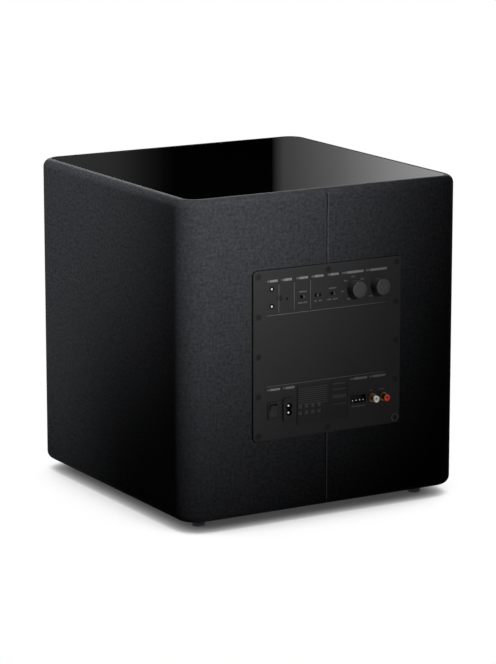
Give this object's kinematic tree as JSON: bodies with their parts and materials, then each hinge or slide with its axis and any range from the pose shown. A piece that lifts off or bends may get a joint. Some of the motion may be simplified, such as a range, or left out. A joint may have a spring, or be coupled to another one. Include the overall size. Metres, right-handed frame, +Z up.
{
  "type": "subwoofer",
  "caption": "Cube subwoofer with a cloth-covered sealed cabinet, a gloss top, a front-firing driver and a rear amplifier plate with rotary controls, slide switches and sockets.",
  "frame": {"origin": "on the floor, below the middle of the overall outline, knobs included", "axes": "+Z up; +Y out of the rear amplifier plate; the driver faces -Y; +X to the right seen from the front"},
  "size_m": [0.393, 0.413, 0.41],
  "materials": {
    "cloth": "fine plain weave",
    "gloss_top": "high gloss",
    "fibreboard": "raw cut board",
    "black_board": "black painted board",
    "wadding": "loose fibre",
    "guard_steel": "satin black",
    "rubber": "matt",
    "zinc_steel": "zinc plated",
    "black_steel": "black oxide",
    "basket": "cast, powder coated black",
    "surround_rubber": "satin",
    "cone_paper": "coated pulp",
    "cap_paper": "coated pulp",
    "spider_cloth": "resin-treated cotton",
    "former": "thin rolled sheet",
    "copper": "enamelled copper wire",
    "plated_iron": "zinc plated",
    "ferrite": "sintered ferrite",
    "foam": "closed-cell foam",
    "phenolic": "moulded",
    "lead_pvc": "soft sleeve",
    "plate_paint": "fine-textured black",
    "sheet_steel": "galvanised",
    "pcb": "solder resist",
    "post_brass": "turned",
    "winding": "taped winding",
    "can": "shrink sleeve",
    "sink": "extruded",
    "pot_metal": "plated",
    "shaft_metal": "plated",
    "knob_plastic": "satin",
    "black_plastic": "fine-textured",
    "rocker_plastic": "satin",
    "pin_metal": "nickel plated",
    "slider_plastic": "satin",
    "led_lens": "smoked lens",
    "nickel": "nickel plated",
    "gold": "gold plated",
    "white_plastic": "moulded",
    "red_plastic": "moulded",
    "label_film": "printed film"
  },
  "bodies": {
    "cabinet": {"fabric_wrap": "cloth", "top_panel": "gloss_top", "front_frame": "fibreboard", "front_baffle": "fibreboard", "left_side": "fibreboard", "right_side": "fibreboard", "rear_panel": "fibreboard", "top_board": "fibreboard", "bottom_board": "black_board", "window_brace": "fibreboard", "wadding": "wadding", "driver_guard": "guard_steel", "feet": "rubber", "foot_screws": "zinc_steel", "driver_basket": "basket", "surround": "surround_rubber", "spider": "spider_cloth", "front_pole_plate": "plated_iron", "magnet": "ferrite", "pole_yoke": "plated_iron", "driver_gasket": "foam", "driver_screws": "black_steel", "driver_terminal": "phenolic", "speaker_lead": "lead_pvc", "amp_plate": "plate_paint", "plate_gasket": "foam", "plate_screws": "black_steel", "amp_chassis": "sheet_steel", "control_board": "pcb", "power_board": "pcb", "board_posts": "post_brass", "transformer": "winding", "capacitors": "can", "heat_sink": "sink", "potentiometers": "pot_metal", "rocker_housing": "black_plastic", "mains_inlet": "black_plastic", "inlet_pins": "pin_metal", "switch_bodies": "black_plastic", "status_led": "led_lens", "expansion_cover": "plate_paint", "expansion_screws": "nickel", "terminal_header": "black_plastic", "terminal_pins": "pin_metal", "rca_shells": "gold", "rca_white_insert": "white_plastic", "rca_red_insert": "red_plastic", "spec_label": "label_film"},
    "cone_assembly": {"cone": "cone_paper", "dust_cap": "cap_paper", "coil_former": "former", "voice_coil": "copper"},
    "crossover_control": {"crossover_knob": "knob_plastic", "crossover_shaft": "shaft_metal"},
    "volume_control": {"volume_knob": "knob_plastic", "volume_shaft": "shaft_metal"},
    "rocker": {"power_rocker": "rocker_plastic"},
    "power_mode_button": {"power_mode_slider": "slider_plastic"},
    "eq_button": {"eq_slider": "slider_plastic"},
    "phase_button": {"phase_slider": "slider_plastic"}
  },
  "joints": [
    {"name": "cone_travel", "type": "slide", "parent": "cabinet", "child": "cone_assembly", "axis": [0, -1, 0], "range_m": [-0.01, 0.01], "stiffness_N_per_m": 3000, "deforming": ["surround", "spider"]},
    {"name": "crossover_turn", "type": "hinge", "parent": "cabinet", "child": "crossover_control", "pos_m": [-0.0373, 0.1925, 0.284], "axis": [0, 1, 0], "range_deg": [-185, 115]},
    {"name": "volume_turn", "type": "hinge", "parent": "cabinet", "child": "volume_control", "pos_m": [-0.0713, 0.1925, 0.284], "axis": [0, 1, 0], "range_deg": [-170, 130]},
    {"name": "rocker_tilt", "type": "hinge", "parent": "cabinet", "child": "rocker", "pos_m": [0.078, 0.1905, 0.1435], "axis": [1, 0, 0], "range_deg": [0, 20]},
    {"name": "power_mode_slide", "type": "slide", "parent": "cabinet", "child": "power_mode_button", "axis": [1, 0, 0], "range_m": [0, 0.004]},
    {"name": "eq_slide", "type": "slide", "parent": "cabinet", "child": "eq_button", "axis": [1, 0, 0], "range_m": [-0.002, 0.002]},
    {"name": "phase_slide", "type": "slide", "parent": "cabinet", "child": "phase_button", "axis": [1, 0, 0], "range_m": [0, 0.004]}
  ]
}
